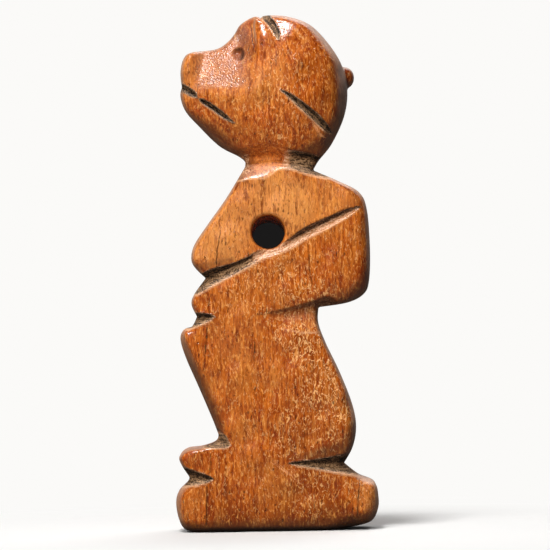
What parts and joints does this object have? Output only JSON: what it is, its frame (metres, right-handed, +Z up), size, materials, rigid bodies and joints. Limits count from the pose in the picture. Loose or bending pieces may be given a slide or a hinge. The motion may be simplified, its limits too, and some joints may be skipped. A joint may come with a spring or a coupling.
{
  "type": "monkey amulet",
  "caption": "Flat carved bone amulet of a squatting monkey on a plinth, bored through the chest to hang on a string.",
  "frame": {"origin": "middle of the box around the amulet, on the plinth's flat underside", "axes": "+Z up along the monkey, -X the way it faces, and its two broad carved faces look along -Y and +Y"},
  "size_m": [0.0197, 0.0106, 0.05],
  "materials": {
    "polished_bone": "satin"
  },
  "bodies": {
    "root": {"monkey_amulet": "polished_bone"}
  },
  "joints": []
}
